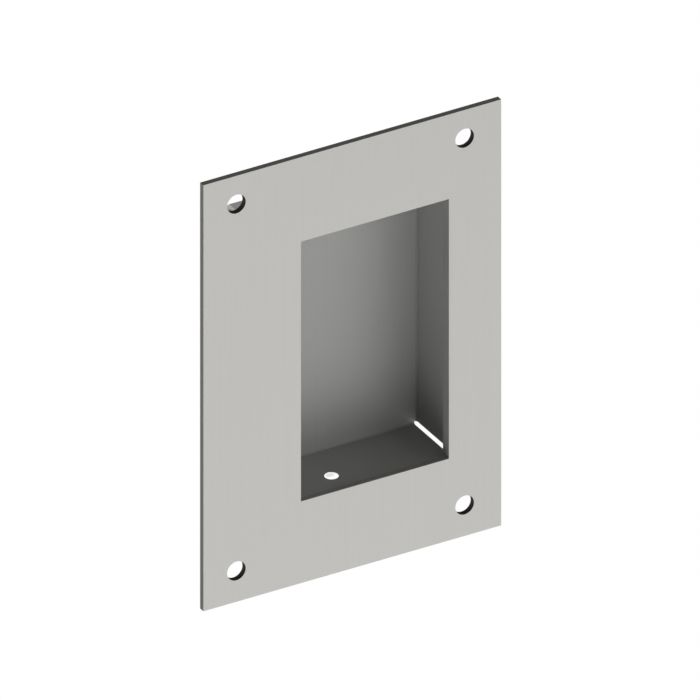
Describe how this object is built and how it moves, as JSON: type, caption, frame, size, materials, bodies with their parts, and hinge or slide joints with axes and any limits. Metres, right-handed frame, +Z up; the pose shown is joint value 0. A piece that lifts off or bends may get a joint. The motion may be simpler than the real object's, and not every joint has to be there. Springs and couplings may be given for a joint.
{
  "type": "recessed pull handle",
  "caption": "Flat satin stainless front plate with an off-centre window and a folded sheet pan behind it for the fingers, screwed onto a door or panel.",
  "frame": {"origin": "centre of the screw holes, on the back face of the front plate", "axes": "+X to the right seen from the front, +Y through the plate into the panel, +Z up"},
  "size_m": [0.1, 0.025, 0.1431],
  "materials": {
    "satin_plate": "satin, fine upright grain",
    "satin_pan": "satin mill finish",
    "weld_metal": "rippled, lightly tinted by heat"
  },
  "bodies": {
    "root": {"front_plate": "satin_plate", "recess_pan": "satin_pan", "stitch_welds": "weld_metal"}
  },
  "joints": []
}
